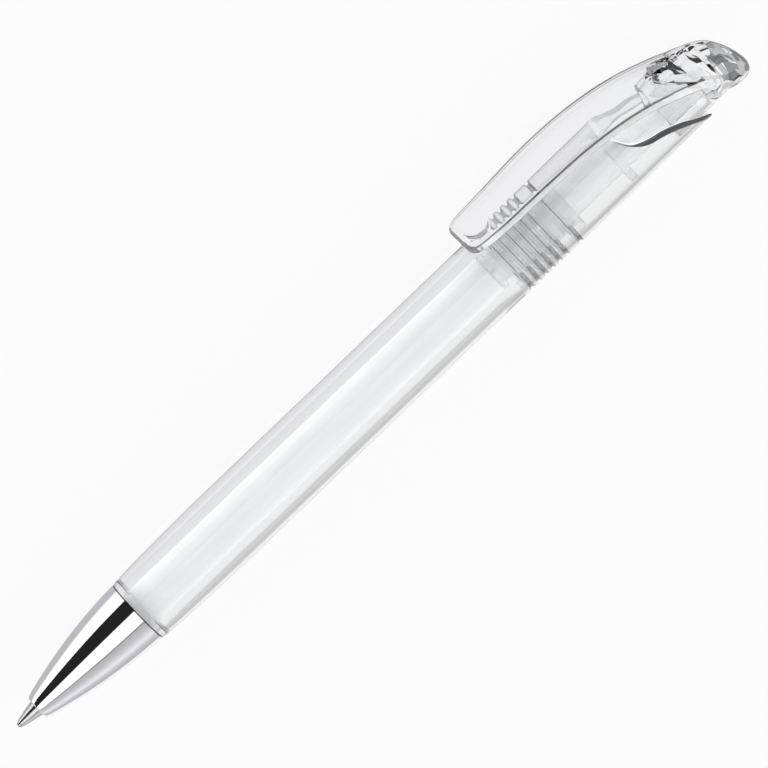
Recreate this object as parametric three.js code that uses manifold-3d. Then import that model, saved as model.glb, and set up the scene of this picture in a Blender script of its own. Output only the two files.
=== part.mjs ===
// Retractable ballpoint pen with a push head and clip in one moulding.
// Millimetres. Every length is measured along the pen from its writing tip.
// While it is drawn, the pen's axis is X and its clip stands up along Z.
// The last lines lay it on the table.

import * as THREE from 'three';
import { mergeVertices } from 'three/addons/utils/BufferGeometryUtils.js';
import Module from 'manifold-3d';

const wasm = await Module();
wasm.setup();

// Clearances
const turnedGap = 0.3; // between round pieces that pass through each other
const slideGap = 0.25; // between the click mechanism's sliding pieces
const pressTravel = 1.2; // how far the head goes in past the writing position
const clickTravel = 4.8; // how far the point draws back

// Point and ball
const ballRadius = 0.5;
const ballShows = 0.6; // of the ball, ahead of its holder
const ballGap = 0.05;
const pointShows = 3.9; // metal in front of the nose
const pointRadius = 1.35;
const pointLipRadius = 0.62;
const pointTailLength = 2.2;
const pointTailRadius = 0.8;
const inkBore = 0.4;

// Nose cone
const noseLength = 20.3;
const noseRearRadius = 5.26;
const noseTaper = 0.03;
const noseBow = 0.0065;
const noseLip = 0.2;
const noseHoleLength = 5.6;
const springRoom = 5.7; // the narrow chamber round the spring
const springRoomRadius = 2.6;
const neckLength = 6.2; // of the barrel's neck inside the cone
const neckRadius = 3.95;

// Barrel
const barrelRadius = 5.82;
const barrelSwellLength = 16.8; // from the joint to the full radius
const barrelRearDraft = 0.18; // how much thinner the rear is
const barrelRearTaper = 20;
const barrelWall = 1.32;
const barrelRearWall = 0.82; // behind the shoulder, from the full radius
const barrelRear = 133.6;
const boreStepAt = 96.4; // shoulder that the cam sleeve seats on
const endRingWidth = 1.1;
const endRingDepth = 0.1;
const barrelSides = 48;

// Grip grooves
const grooveCount = 6;
const groovePitch = 1.39;
const grooveWidth = 0.75;
const grooveDepth = 0.28;
const firstGrooveAt = 97.8;
const loneGrooveSkip = 2; // pitches from the last groove to the single one

// Refill
const refillRadius = 3.1;
const refillWall = 0.6;
const refillFront = 17.4;
const refillLength = 77.1;
const adaptorFront = 11;
const adaptorRadius = 1.55;
const flangeLength = 0.8;
const plugDepth = 3;
const plugRadius = 2.4;
const plugShows = 3.6; // of the rear plug, behind the tube
const inkLength = 52;
const followerLength = 3;

// Spring
const wireRadius = 0.2;
const springRadius = 2.05; // to the middle of the wire
const springTurns = 7;

// Cam mechanism
const sleeveLength = 13.3;
const sleeveWall = 0.8;
const ribsFront = 6; // from the sleeve's front
const slotWidth = 2.2;
const slotCount = 4;
const rotorLength = 4.9; // to the roots of its teeth
const rotorBore = 1.2;
const finLength = 2.5;
const finFront = 1.5; // from the rotor's front
const finSlope = 0.9;
const toothCount = 8;
const toothHeight = 0.9;
const toothGap = 0.3; // between the rotor's teeth and the stem's

// Push stem
const stemRadius = 2.77;
const stemBore = 1.6;
const stemRear = 137;
const guideFront = 1.2; // from the stem's teeth to its guide fins
const guideLength = 2.4;
const collarAt = 118.8;
const collarLength = 1.2;
const collarRadius = 3.3;
const lugGap = 0.45; // to the barrel's bore
const lugWidth = 1.7;
const armLength = 7.2;
const armThickness = 0.5;
const hookLength = 1.4;
const hookGap = 0.3;

// Clip, skirt and push head
const penLength = 143.2;
const clipFront = 94.5;
const clipCorner = 1.7;
const clipEdgeDrop = 0.45;
const clipCrown = 0.55;
const clipHollow = 0.45; // rise of the clip's underside
const nubAt = 2; // from the clip's front
const nubRadius = 1.15;
const nubSpread = 2.6; // its width across the clip, for its length along it
const skirtFront = 128.3;
const skirtWall = 0.85;
const headFront = 134.9;
const clipHeight = 9.2; // its edge's highest place, from the pen's axis
const clipWidth = 10.76;
const plateThickness = 1.7;
const mouthLength = 14.1; // from the barrel's rear end to the top of its slanted mouth

// Sizes that follow from the ones above
const barrelFrontRadius = noseRearRadius - 0.01;
const barrelRearRadius = barrelRadius - barrelRearDraft;
const barrelBore = barrelRadius - barrelWall;
const barrelRearBore = barrelRadius - barrelRearWall;
const sleeveRadius = barrelRearBore - slideGap;
const sleeveBore = sleeveRadius - sleeveWall;
const lugRadius = barrelRearBore - lugGap;
const skirtRadius = barrelRearBore - turnedGap;
const socketRadius = stemRadius + turnedGap;

// Shape helpers

// A smooth curve through [along, value] points, read at a distance along.
function follow(points, along) {
  const last = points.length - 1;
  const slope = (i) => {
    const a = points[Math.max(i - 1, 0)];
    const b = points[Math.min(i + 1, last)];
    return (b[1] - a[1]) / (b[0] - a[0]);
  };
  let i = 0;
  while (i < last - 1 && along > points[i + 1][0]) i += 1;
  const span = points[i + 1][0] - points[i][0];
  const t = THREE.MathUtils.clamp((along - points[i][0]) / span, 0, 1);
  const start = (2 * t ** 3 - 3 * t ** 2 + 1) * points[i][1];
  const end = (3 * t ** 2 - 2 * t ** 3) * points[i + 1][1];
  const leave = (t ** 3 - 2 * t ** 2 + t) * span * slope(i);
  const arrive = (t ** 3 - t ** 2) * span * slope(i + 1);
  return start + end + leave + arrive;
}

// Joins doubled vertices and turns every face outward.
function closed(geometry) {
  geometry.deleteAttribute('normal');
  geometry.deleteAttribute('uv');
  const merged = mergeVertices(geometry, 1e-4);
  const index = merged.index.array;
  const corner = [0, 1, 2].map(() => new THREE.Vector3());
  let volume = 0;
  for (let i = 0; i < index.length; i += 3) {
    corner.forEach((v, k) => v.fromBufferAttribute(merged.attributes.position, index[i + k]));
    volume += corner[0].dot(corner[1].cross(corner[2]));
  }
  if (volume < 0) {
    for (let i = 0; i < index.length; i += 3) {
      [index[i], index[i + 1]] = [index[i + 1], index[i]];
    }
  }
  merged.computeVertexNormals();
  return merged;
}

// Turns a profile of [along, radius] points about the pen's axis.
function turned(profile, sides, phase = 0) {
  const points = profile.map(([along, radius]) => new THREE.Vector2(radius, along));
  const geometry = new THREE.LatheGeometry(points, sides, phase, 2 * Math.PI);
  geometry.rotateZ(-Math.PI / 2);
  return closed(geometry);
}

// A turned ring or tube: the profile closes on its first point.
function turnedRing(profile, sides, phase = 0) {
  return turned([...profile, profile[0]], sides, phase);
}

// Skins a row of equal sections, each a list of Vector3, and caps both ends.
function loft(sections) {
  const count = sections[0].length;
  const position = sections.flat().flatMap((p) => [p.x, p.y, p.z]);
  const index = [];
  for (let i = 0; i < sections.length - 1; i += 1) {
    for (let j = 0; j < count; j += 1) {
      const a = i * count + j;
      const b = i * count + ((j + 1) % count);
      index.push(a, a + count, b, b, a + count, b + count);
    }
  }
  const outline = sections[0].map((p) => new THREE.Vector2(p.y, p.z));
  const lastRow = (sections.length - 1) * count;
  const capTurn = THREE.ShapeUtils.area(outline) > 0 ? 1 : -1;
  for (const [row, section, flip] of [[0, sections[0], 1], [lastRow, sections.at(-1), -1]]) {
    const flat = section.map((p) => new THREE.Vector2(p.y, p.z));
    for (const [a, b, c] of THREE.ShapeUtils.triangulateShape(flat, [])) {
      if (flip * capTurn > 0) index.push(row + a, row + b, row + c);
      else index.push(row + a, row + c, row + b);
    }
  }
  const geometry = new THREE.BufferGeometry();
  geometry.setAttribute('position', new THREE.Float32BufferAttribute(position, 3));
  geometry.setIndex(index);
  return closed(geometry);
}

// A flat outline of [along, side] points, raised from one height to another.
function raised(outline, low, high) {
  const shape = new THREE.Shape(outline.map(([x, y]) => new THREE.Vector2(x, y)));
  const geometry = new THREE.ExtrudeGeometry(shape, { depth: high - low, bevelEnabled: false });
  geometry.translate(0, 0, low);
  return closed(geometry);
}

// A block from one [along, side, height] corner to the opposite one.
function block(low, high) {
  const size = high.map((value, i) => value - low[i]);
  const geometry = new THREE.BoxGeometry(...size);
  geometry.translate(...low.map((value, i) => value + size[i] / 2));
  return closed(geometry);
}

// A ring whose front or rear face is a row of pointed teeth.
function toothedRing(inner, outer, flatAt, rootAt, tipAt) {
  const stepsPerTooth = 4;
  const steps = toothCount * stepsPerTooth;
  const sections = [];
  for (let i = 0; i < steps; i += 1) {
    const turn = (i / steps) * 2 * Math.PI;
    const inTooth = (i % stepsPerTooth) / stepsPerTooth;
    const rise = 1 - Math.abs(2 * inTooth - 1);
    const toothAt = rootAt + (tipAt - rootAt) * rise;
    const at = (along, radius) => new THREE.Vector3(
      along,
      radius * Math.cos(turn),
      radius * Math.sin(turn),
    );
    sections.push([at(flatAt, inner), at(flatAt, outer), at(toothAt, outer), at(toothAt, inner)]);
  }
  const position = sections.flat().flatMap((p) => [p.x, p.y, p.z]);
  const index = [];
  for (let i = 0; i < steps; i += 1) {
    for (let j = 0; j < 4; j += 1) {
      const a = i * 4 + j;
      const b = i * 4 + ((j + 1) % 4);
      const c = ((i + 1) % steps) * 4 + j;
      const d = ((i + 1) % steps) * 4 + ((j + 1) % 4);
      index.push(a, c, b, b, c, d);
    }
  }
  const geometry = new THREE.BufferGeometry();
  geometry.setAttribute('position', new THREE.Float32BufferAttribute(position, 3));
  geometry.setIndex(index);
  return closed(geometry);
}

// Turns a shape about the pen's axis, as many times as there are copies.
function around(geometry, count, firstTurn = 0) {
  const copies = [];
  for (let i = 0; i < count; i += 1) {
    const copy = geometry.clone();
    copy.rotateX(firstTurn + (i * 2 * Math.PI) / count);
    copies.push(copy);
  }
  return copies;
}

function solid(geometry) {
  return new wasm.Manifold(new wasm.Mesh({
    numProp: 3,
    vertProperties: new Float32Array(geometry.attributes.position.array),
    triVerts: new Uint32Array(geometry.index.array),
  }));
}

function fromSolid(body) {
  const mesh = body.getMesh();
  const geometry = new THREE.BufferGeometry();
  geometry.setAttribute('position', new THREE.BufferAttribute(new Float32Array(mesh.vertProperties), 3));
  geometry.setIndex([...mesh.triVerts]);
  geometry.computeVertexNormals();
  return geometry;
}

function joined(...geometries) {
  return geometries.map(solid).reduce((sum, next) => sum.add(next));
}

function cut(body, ...geometries) {
  return geometries.map(solid).reduce((rest, next) => rest.subtract(next), body);
}

// Pieces

const pieces = [];

function piece(name, geometry, color, roughness, metalness, opacity = 1) {
  const material = new THREE.MeshStandardMaterial({ color, roughness, metalness });
  material.transparent = opacity < 1;
  material.opacity = opacity;
  const mesh = new THREE.Mesh(geometry, material);
  mesh.name = name;
  pieces.push(mesh);
  return mesh;
}

const clearPlastic = '#eef0f2';
const milkyPlastic = '#dfe3e6';
const chrome = '#d4d6da';

// Push clip: the arched plate from the clip's end into the head
// as [share of the way to the head, share of its greatest height, width or thickness]
const clipReach = headFront - clipFront;
const clipSide = [[0, 0.98], [0.136, 0.971], [0.384, 1], [0.582, 0.959], [0.78, 0.793], [0.96, 0.492], [1.052, 0.283]];
const clipPlan = [[0, 0.771], [0.101, 0.864], [0.235, 0.929], [0.433, 0.993], [0.879, 1], [1.052, 0.967]];
const clipDepth = [[0, 0.88], [0.384, 1], [0.78, 1], [0.96, 1.29], [1.052, 1.65]];
const clipRear = clipFront + 1.04 * clipReach;
const clipSections = 26;
const arcSteps = 10;

function clipSection(along) {
  const share = (along - clipFront) / clipReach;
  const edge = clipHeight * follow(clipSide, share);
  const thickness = plateThickness * follow(clipDepth, share);
  const fromFront = Math.min(along - clipFront, clipCorner);
  const rounding = clipCorner - Math.sqrt(clipCorner ** 2 - (clipCorner - fromFront) ** 2);
  const halfWidth = (clipWidth / 2) * follow(clipPlan, share) - rounding;
  const outline = [];
  for (let i = 0; i <= arcSteps; i += 1) {
    const side = -Math.cos((i * Math.PI) / arcSteps);
    const rise = Math.sqrt(1 - Math.abs(side) ** 3);
    outline.push([halfWidth * side, edge - clipEdgeDrop + (clipCrown + clipEdgeDrop) * rise]);
  }
  for (let i = arcSteps; i >= 0; i -= 1) {
    const side = -Math.cos((i * Math.PI) / arcSteps);
    outline.push([halfWidth * 0.97 * side, edge - thickness + clipHollow * (1 - side ** 2)]);
  }
  return outline.map(([y, z]) => new THREE.Vector3(along, y, z));
}

const clipStations = [];
for (let i = 0; i <= clipSections; i += 1) {
  // closer together where the corners are rounded
  const share = (i / clipSections) ** 1.6;
  clipStations.push(clipFront + 0.02 + (clipRear - clipFront - 0.02) * share);
}
const plate = loft(clipStations.map(clipSection));

// Push head: its top runs on from the clip and ends in a beak over the back
// as [share of the head's length, share of the skirt's radius]
const headLength = penLength - headFront;
const headTop = [[0, 1.01], [0.18, 0.957], [0.506, 0.84], [0.71, 0.553], [0.855, 0.106], [0.95, -0.32], [1, -0.66]];
const headBottom = [[0, -0.996], [0.42, -1.004], [0.48, -1.06], [0.675, -1.14], [0.855, -1.15], [0.95, -1.08], [1, -0.92]];
const headPlan = [[0, 1.106], [0.18, 1.106], [0.506, 0.957], [0.71, 0.84], [0.855, 0.68], [0.95, 0.447], [1, 0.19]];
const headMiddle = [[0, 0.553], [0.18, 0.404], [0.506, -0.106], [0.855, -0.55], [1, -0.79]];
const headStations = [0, 0.13, 0.25, 0.37, 0.43, 0.475, 0.54, 0.63, 0.71, 0.795, 0.855, 0.91, 0.95, 0.982, 1];
const headSteps = 24;

const head = loft(headStations.map((share) => {
  const along = headFront + headLength * share;
  const top = skirtRadius * follow(headTop, share);
  const bottom = skirtRadius * follow(headBottom, share);
  const middle = skirtRadius * follow(headMiddle, share);
  const halfWidth = skirtRadius * follow(headPlan, share);
  const outline = [];
  for (let i = 0; i < headSteps; i += 1) {
    const turn = (i / headSteps) * 2 * Math.PI;
    const reach = Math.sin(turn) > 0 ? top - middle : middle - bottom;
    outline.push(new THREE.Vector3(along, halfWidth * Math.cos(turn), middle + reach * Math.sin(turn)));
  }
  return outline;
}));

const skirt = turnedRing([
  [skirtFront, skirtRadius - skirtWall],
  [skirtFront, skirtRadius - 0.2],
  [skirtFront + 0.2, skirtRadius],
  [headFront + 0.6, skirtRadius],
  [headFront + 0.6, skirtRadius - skirtWall],
], 40);

const nubFoot = barrelRadius + turnedGap;
const nubTop = clipHeight * follow(clipSide, nubAt / clipReach) - plateThickness / 2;
const nubProfile = [new THREE.Vector2(0, nubTop)];
const nubSteps = 6;
for (let i = 0; i <= nubSteps; i += 1) {
  const turn = (i / nubSteps) * (Math.PI / 2);
  const height = nubTop - (nubTop - nubFoot) * Math.sin(turn);
  nubProfile.push(new THREE.Vector2(nubRadius * Math.cos(turn), height));
}
const nub = new THREE.LatheGeometry(nubProfile, 16);
nub.rotateX(Math.PI / 2);
nub.scale(1, nubSpread, 1);
nub.translate(clipFront + nubAt, 0, 0);

const socket = turned([
  [skirtFront - 1, 0],
  [skirtFront - 1, socketRadius],
  [stemRear, socketRadius],
  [stemRear, 0],
], 40);

const pushClip = fromSolid(cut(joined(plate, head, skirt, closed(nub)), socket));
piece('push_clip', pushClip, clearPlastic, 0.08, 0, 0.4);

// Resting angle: the clip leans down until its corner is level with the barrel's flat
const flatAt = barrelRadius * Math.cos(Math.PI / barrelSides);
let restAngle = Math.PI / 2;
for (let i = 0; i < pushClip.attributes.position.count; i += 1) {
  const side = pushClip.attributes.position.getY(i);
  const height = pushClip.attributes.position.getZ(i);
  const reach = Math.hypot(side, height);
  if (reach > flatAt && side > 0 && height > 0) {
    restAngle = Math.min(restAngle, Math.atan2(height, side) - Math.acos(flatAt / reach));
  }
}
const flatPhase = restAngle - Math.PI / 2 + Math.PI / barrelSides;

// Nose cone
const noseRear = pointShows + noseLength;
const noseHole = pointRadius + slideGap;
const springSeat = pointShows + noseHoleLength;
const springRoomRear = springSeat + springRoom;
const refillRoom = refillRadius + turnedGap;
const neckFront = noseRear - neckLength;
const noseOutline = [];
const noseSteps = 14;
for (let i = 0; i <= noseSteps; i += 1) {
  const back = noseLength * (1 - i / noseSteps);
  const radius = noseRearRadius - noseTaper * back - noseBow * back ** 2;
  noseOutline.push([noseRear - back, i === 0 ? radius - noseLip : radius]);
}
noseOutline.splice(1, 0, [pointShows + noseLip, noseOutline[0][1] + noseLip]);
piece('nose_cone', turnedRing([
  ...noseOutline,
  [noseRear, neckRadius + turnedGap],
  [neckFront - turnedGap, neckRadius + turnedGap],
  [neckFront - turnedGap, refillRoom],
  [springRoomRear, refillRoom],
  [springRoomRear, springRoomRadius],
  [springSeat, springRoomRadius],
  [springSeat, noseHole],
  [pointShows, noseHole],
], 48), chrome, 0.06, 1);

// Barrel with its grooves and its slanted mouth
const fullRadiusAt = noseRear + barrelSwellLength;
const swell = [
  [noseRear, barrelFrontRadius],
  [noseRear + barrelSwellLength * 0.28, barrelRadius - (barrelRadius - barrelFrontRadius) * 0.46],
  [noseRear + barrelSwellLength * 0.62, barrelRadius - (barrelRadius - barrelFrontRadius) * 0.16],
  [fullRadiusAt, barrelRadius],
];
const ringRear = noseRear + endRingWidth;
const barrelOutline = [
  [neckFront, refillRoom],
  [neckFront, neckRadius - 0.3],
  [neckFront + 0.3, neckRadius],
  [noseRear, neckRadius],
  [noseRear, barrelFrontRadius - 0.04],
  [noseRear + 0.12, follow(swell, noseRear + 0.12)],
  [ringRear - 0.15, follow(swell, ringRear - 0.15)],
  [ringRear, follow(swell, ringRear) - endRingDepth],
  [ringRear + 0.15, follow(swell, ringRear + 0.15)],
];
const swellSteps = 6;
for (let i = 1; i <= swellSteps; i += 1) {
  const along = ringRear + ((fullRadiusAt - ringRear) * i) / swellSteps;
  barrelOutline.push([along, follow(swell, along)]);
}
for (let i = 0; i <= grooveCount; i += 1) {
  const skip = i === grooveCount ? loneGrooveSkip - 1 : 0;
  const middle = firstGrooveAt + (i + skip) * groovePitch;
  barrelOutline.push([middle - grooveWidth / 2, barrelRadius]);
  barrelOutline.push([middle - grooveWidth / 5, barrelRadius - grooveDepth]);
  barrelOutline.push([middle + grooveWidth / 5, barrelRadius - grooveDepth]);
  barrelOutline.push([middle + grooveWidth / 2, barrelRadius]);
}
const taperFront = barrelRear - barrelRearTaper;
barrelOutline.push([taperFront, barrelRadius]);
barrelOutline.push([taperFront + barrelRearTaper * 0.4, (barrelRadius + barrelRearRadius) / 2]);
barrelOutline.push([taperFront + barrelRearTaper * 0.75, barrelRearRadius]);
barrelOutline.push([barrelRear, barrelRearRadius]);
barrelOutline.push([barrelRear, barrelRearBore]);
barrelOutline.push([boreStepAt, barrelRearBore]);
barrelOutline.push([boreStepAt, barrelBore]);
barrelOutline.push([noseRear + 4.3, barrelBore]);
barrelOutline.push([noseRear + 1.8, refillRoom]);

// The mouth's edge seen from the side,
// as [share of the mouth's length ahead of the rear end, share of the barrel's radius]
const mouthEdge = [
  [0, -1.2], [0, -1.014], [0.085, -0.756], [0.184, -0.515], [0.326, -0.223], [0.532, 0.034],
  [0.738, 0.241], [0.787, 0.412], [0.865, 0.61], [0.936, 0.739], [1, 0.979], [1.021, 1.2],
];
const mouthCurve = new THREE.CatmullRomCurve3(mouthEdge.map(([ahead, height]) => (
  new THREE.Vector3(barrelRear - mouthLength * ahead, barrelRadius * height, 0)
)));
const mouthOutline = mouthCurve.getPoints(40).map((p) => [p.x, p.y]);
const past = 1.2 * barrelRadius;
mouthOutline.push([barrelRear + past, past], [barrelRear + past, -past]);
const mouthCutter = raised(mouthOutline, -past, past);
mouthCutter.rotateX(Math.PI / 2);
const barrelBody = solid(turnedRing(barrelOutline, barrelSides, flatPhase));
piece('barrel', fromSolid(cut(barrelBody, mouthCutter)), clearPlastic, 0.05, 0, 0.3);

// Writing ball and point holder
const ballSteps = 10;
const ballProfile = [];
for (let i = 0; i <= ballSteps; i += 1) {
  const turn = (i / ballSteps) * Math.PI;
  ballProfile.push([ballRadius - ballRadius * Math.cos(turn), ballRadius * Math.sin(turn)]);
}
piece('writing_ball', turned(ballProfile, 16), '#b9bcc0', 0.15, 1);

const seatRadius = ballRadius + ballGap;
const holderTail = adaptorFront + pointTailLength;
piece('point_holder', turnedRing([
  [ballShows, seatRadius],
  [ballShows, pointLipRadius],
  [pointShows, pointRadius],
  [adaptorFront, pointRadius],
  [adaptorFront, pointTailRadius],
  [holderTail, pointTailRadius],
  [holderTail, inkBore],
  [2 * ballRadius + 3 * ballGap, inkBore],
  [2 * ballRadius, seatRadius],
], 32), '#c9ccd0', 0.2, 1);

// Refill: front adaptor, tube, rear plug and what fills it
const tubeBore = refillRadius - refillWall;
const plugFit = tubeBore - turnedGap;
const refillRear = refillFront + refillLength;
const flangeFront = refillFront - flangeLength;
const tailSocket = pointTailRadius + turnedGap;
piece('refill_front', turnedRing([
  [adaptorFront, tailSocket],
  [adaptorFront, adaptorRadius],
  [flangeFront, adaptorRadius],
  [flangeFront, refillRadius - 0.05],
  [refillFront, refillRadius - 0.05],
  [refillFront, plugFit],
  [refillFront + plugDepth, plugFit],
  [refillFront + plugDepth, inkBore],
  [holderTail + turnedGap, inkBore],
  [holderTail + turnedGap, tailSocket],
], 32), '#f1f1ef', 0.35, 0);

piece('refill_tube', turnedRing([
  [refillFront, tubeBore],
  [refillFront, refillRadius],
  [refillRear, refillRadius],
  [refillRear, tubeBore],
], 40), '#f6f6f5', 0.3, 0);

const plugRear = refillRear + plugShows;
piece('refill_plug', turnedRing([
  [refillRear - plugDepth, inkBore],
  [refillRear - plugDepth, plugFit],
  [refillRear, plugFit],
  [refillRear, refillRadius],
  [refillRear + 0.9, refillRadius],
  [refillRear + 0.9, plugRadius],
  [plugRear - 0.8, plugRadius],
  [plugRear, plugRadius - 0.5],
  [plugRear, inkBore],
], 32), '#e6e8ea', 0.25, 0, 0.7);

const inkFront = refillFront + plugDepth + turnedGap;
const inkRadius = tubeBore - turnedGap / 2;
piece('ink_column', turned([
  [inkFront, 0],
  [inkFront, inkRadius],
  [inkFront + inkLength, inkRadius],
  [inkFront + inkLength, 0],
], 24), '#15171c', 0.2, 0);
piece('ink_follower', turned([
  [inkFront + inkLength, 0],
  [inkFront + inkLength, inkRadius],
  [inkFront + inkLength + followerLength, inkRadius],
  [inkFront + inkLength + followerLength, 0],
], 24), '#d9c98f', 0.3, 0, 0.8);

// Return spring, between the cone's seat and the refill's flange
const coilFront = springSeat + wireRadius + 0.02;
const coilRear = flangeFront - wireRadius - 0.02;
const coilSteps = springTurns * 8;
const wireSides = 5;
const coilAt = (share) => new THREE.Vector3(
  coilFront + (coilRear - coilFront) * share,
  springRadius * Math.cos(share * springTurns * 2 * Math.PI),
  springRadius * Math.sin(share * springTurns * 2 * Math.PI),
);
const coil = [];
for (let i = 0; i <= coilSteps; i += 1) {
  const centre = coilAt(i / coilSteps);
  const outward = new THREE.Vector3(0, centre.y, centre.z).normalize();
  for (let j = 0; j < wireSides; j += 1) {
    const turn = (j / wireSides) * 2 * Math.PI;
    const lean = outward.clone().multiplyScalar(wireRadius * Math.cos(turn));
    coil.push(centre.x + wireRadius * Math.sin(turn), centre.y + lean.y, centre.z + lean.z);
  }
}
const coilIndex = [];
for (let i = 0; i < coilSteps; i += 1) {
  for (let j = 0; j < wireSides; j += 1) {
    const a = i * wireSides + j;
    const b = i * wireSides + ((j + 1) % wireSides);
    coilIndex.push(a, a + wireSides, b, b, a + wireSides, b + wireSides);
  }
}
const coilLast = coilSteps * wireSides;
for (let j = 1; j < wireSides - 1; j += 1) {
  coilIndex.push(0, j, j + 1);
  coilIndex.push(coilLast, coilLast + j + 1, coilLast + j);
}
const coilGeometry = new THREE.BufferGeometry();
coilGeometry.setAttribute('position', new THREE.Float32BufferAttribute(coil, 3));
coilGeometry.setIndex(coilIndex);
piece('return_spring', closed(coilGeometry), '#b4b7bb', 0.25, 1);

let leastGap = Infinity;
for (let i = 0; i <= coilSteps; i += 1) {
  for (let j = i + 4; j <= coilSteps; j += 1) {
    const apart = coilAt(i / coilSteps).distanceTo(coilAt(j / coilSteps));
    leastGap = Math.min(leastGap, apart - 2 * wireRadius);
  }
}
console.log(`return_spring: least gap to itself ${leastGap.toFixed(3)} mm`);

// Cam sleeve: a tube on the barrel's shoulder, with ribs between four slots
const sleeveRear = boreStepAt + sleeveLength;
const ribFrontAt = boreStepAt + ribsFront;
const rotorRadius = stemRadius + 0.08;
const ribBore = rotorRadius + slideGap;
const ribSlope = finSlope;
const sleeveTube = solid(turnedRing([
  [boreStepAt, sleeveBore],
  [boreStepAt, sleeveRadius],
  [sleeveRear - 0.3, sleeveRadius],
  [sleeveRear, sleeveRadius - 0.3],
  [sleeveRear, ribBore],
  [ribFrontAt, ribBore],
  [ribFrontAt, sleeveBore],
], 48));
const slots = around(
  block([ribFrontAt - 1, -slotWidth / 2, 0], [sleeveRear + 1, slotWidth / 2, sleeveBore]),
  slotCount,
);
const ribReach = sleeveBore * Math.sin(Math.PI / slotCount);
const rampCutter = raised([
  [ribFrontAt - 0.5, -ribReach],
  [ribFrontAt - 0.5, ribReach],
  [ribFrontAt, ribReach],
  [ribFrontAt + ribSlope, -ribReach],
], ribBore * 0.6, sleeveBore + 1);
const rampLimit = solid(turned([
  [ribFrontAt - 1, 0],
  [ribFrontAt - 1, sleeveBore - 0.02],
  [ribFrontAt + ribSlope + 1, sleeveBore - 0.02],
  [ribFrontAt + ribSlope + 1, 0],
], 48));
let camSleeve = cut(sleeveTube, ...slots);
for (const ramp of around(rampCutter, slotCount, Math.PI / slotCount)) {
  camSleeve = camSleeve.subtract(solid(ramp).intersect(rampLimit));
}
piece('cam_sleeve', fromSolid(camSleeve), milkyPlastic, 0.3, 0, 0.6);

// Rotor: four sloped fins that run in the slots, and a crown of teeth
const finRadius = sleeveBore - slideGap;
const finWidth = slotWidth - 2 * slideGap;
const rotorRear = plugRear + rotorLength;
const finAt = plugRear + finFront;
const rotorBody = turnedRing([
  [plugRear, rotorBore],
  [plugRear, rotorRadius],
  [rotorRear, rotorRadius],
  [rotorRear, rotorBore],
], 32);
const rotorTeeth = toothedRing(rotorBore + 0.2, rotorRadius, rotorRear - 0.3, rotorRear, rotorRear + toothHeight);
const fin = raised([
  [finAt, -finWidth / 2],
  [finAt + finLength - finSlope * 0.5, -finWidth / 2],
  [finAt + finLength, finWidth / 2],
  [finAt, finWidth / 2],
], rotorRadius - 0.6, finRadius);
piece('rotor', fromSolid(joined(rotorBody, rotorTeeth, ...around(fin, slotCount))), '#cfd5da', 0.3, 0);

// Push stem: toothed crown, guide fins, collar with lugs and two latch arms
const stemTips = rotorRear + toothHeight + toothGap;
const stemRoots = stemTips + toothHeight;
const stemBody = turnedRing([
  [stemRoots, stemBore],
  [stemRoots, rotorRadius],
  [sleeveRear + 0.7, rotorRadius],
  [sleeveRear + 0.7, stemRadius],
  [collarAt, stemRadius],
  [collarAt, collarRadius],
  [collarAt + collarLength, collarRadius],
  [collarAt + collarLength, stemRadius],
  [stemRear, stemRadius],
  [stemRear, 0],
  [stemRear - 1.5, 0],
  [stemRear - 1.5, stemBore],
], 32);
const stemTeeth = toothedRing(stemBore, rotorRadius, stemRoots + 0.3, stemRoots, stemTips);
const guide = block(
  [stemRoots + guideFront, -finWidth / 2, stemRadius - 0.6],
  [stemRoots + guideFront + guideLength, finWidth / 2, finRadius],
);
const lug = block(
  [collarAt, -lugWidth / 2, stemRadius - 0.4],
  [collarAt + collarLength, lugWidth / 2, lugRadius],
);
const armOutline = [
  [collarAt, -lugWidth / 2],
  [collarAt + armLength, -lugWidth / 2],
  [collarAt + armLength, lugWidth / 2],
  [collarAt, lugWidth / 2],
];
const arm = raised(armOutline, lugRadius - armThickness, lugRadius);
const hookRear = collarAt + armLength;
const hook = block(
  [hookRear - hookLength, -lugWidth / 2, lugRadius - 2 * armThickness],
  [hookRear, lugWidth / 2, lugRadius],
);
const secondHookRear = hookRear - hookLength - hookGap;
const secondHook = block(
  [secondHookRear - 0.8, -lugWidth / 2, lugRadius - 1.6 * armThickness],
  [secondHookRear, lugWidth / 2, lugRadius],
);
const quarter = Math.PI / 4;
piece('push_stem', fromSolid(joined(
  stemBody,
  stemTeeth,
  ...around(guide, slotCount),
  ...around(lug, 4, quarter),
  ...around(arm, 2, quarter),
  ...around(hook, 2, quarter),
  ...around(secondHook, 2, quarter),
)), milkyPlastic, 0.3, 0, 0.7);

// On the table: the pen lies on the barrel's flat, with the clip to the front
const pen = new THREE.Group();
pen.add(...pieces);
pen.rotation.x = -(Math.PI / 2 + restAngle);
const facing = new THREE.Group();
facing.add(pen);
facing.rotation.z = Math.PI;
const ballpointPen = new THREE.Group();
ballpointPen.add(facing);
ballpointPen.updateMatrixWorld(true);
const bounds = new THREE.Box3().setFromObject(ballpointPen, true);
const centre = bounds.getCenter(new THREE.Vector3());
facing.position.set(-centre.x, -centre.y, -bounds.min.z);

export default ballpointPen;
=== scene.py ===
# A clear push-action ballpoint pen with a chrome nose, lying on a white table.
# Metres. The pen's axis runs along X, its writing tip at +X and its clip towards -Y.
# The tables of places are in millimetres, measured back from the writing tip and out from the axis.

import math
import random

import bmesh
import bpy
from mathutils import Matrix, Vector


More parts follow.
